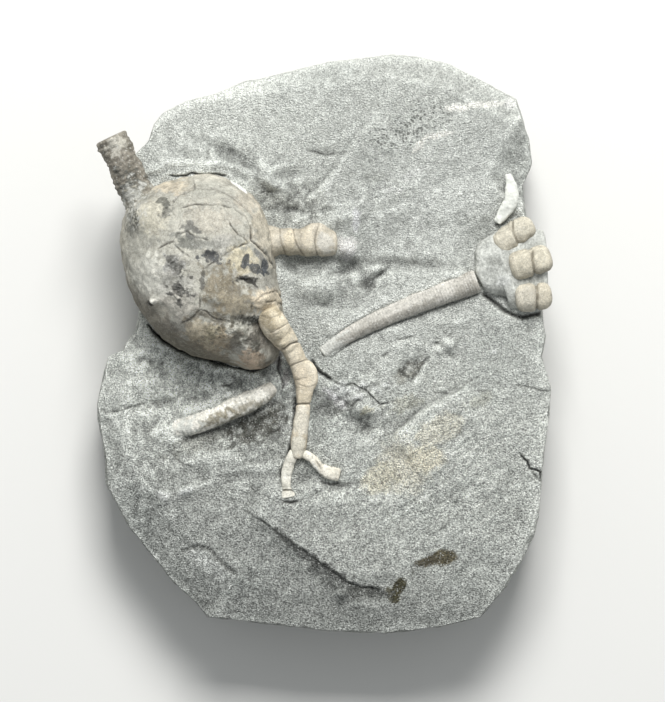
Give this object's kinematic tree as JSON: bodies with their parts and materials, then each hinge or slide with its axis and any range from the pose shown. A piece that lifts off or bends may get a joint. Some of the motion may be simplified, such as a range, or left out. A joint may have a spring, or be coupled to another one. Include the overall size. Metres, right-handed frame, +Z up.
{
  "type": "crinoid fossil",
  "caption": "Weathered slab of grey siltstone with a rounded sea lily cup, its stem and arms, and a slender sea lily on a long column standing out of the face.",
  "frame": {"origin": "middle of the slab's flat underside, which is the lowest plane of the part", "axes": "+Z up out of the fossil face, +Y along the slab's length towards the end beyond the large cup, +X across the slab towards the small cup"},
  "size_m": [0.0983, 0.1248, 0.0418],
  "materials": {
    "siltstone_slab": "matte",
    "large_cup": "matte",
    "stem": "matte",
    "short_arm": "matte",
    "long_arm": "matte",
    "long_arm_left_branch": "matte",
    "long_arm_right_branch": "matte",
    "small_column": "matte",
    "small_column_far_piece": "matte",
    "small_cup": "matte",
    "small_arm_upper": "matte",
    "small_arm_middle": "matte",
    "small_arm_lower": "matte",
    "shell_fragment": "matte"
  },
  "bodies": {
    "root": {"siltstone_slab": "siltstone_slab", "large_cup": "large_cup", "stem": "stem", "short_arm": "short_arm", "long_arm": "long_arm", "long_arm_left_branch": "long_arm_left_branch", "long_arm_right_branch": "long_arm_right_branch", "small_column": "small_column", "small_column_far_piece": "small_column_far_piece", "small_cup": "small_cup", "small_arm_upper": "small_arm_upper", "small_arm_middle": "small_arm_middle", "small_arm_lower": "small_arm_lower", "shell_fragment": "shell_fragment"}
  },
  "joints": []
}
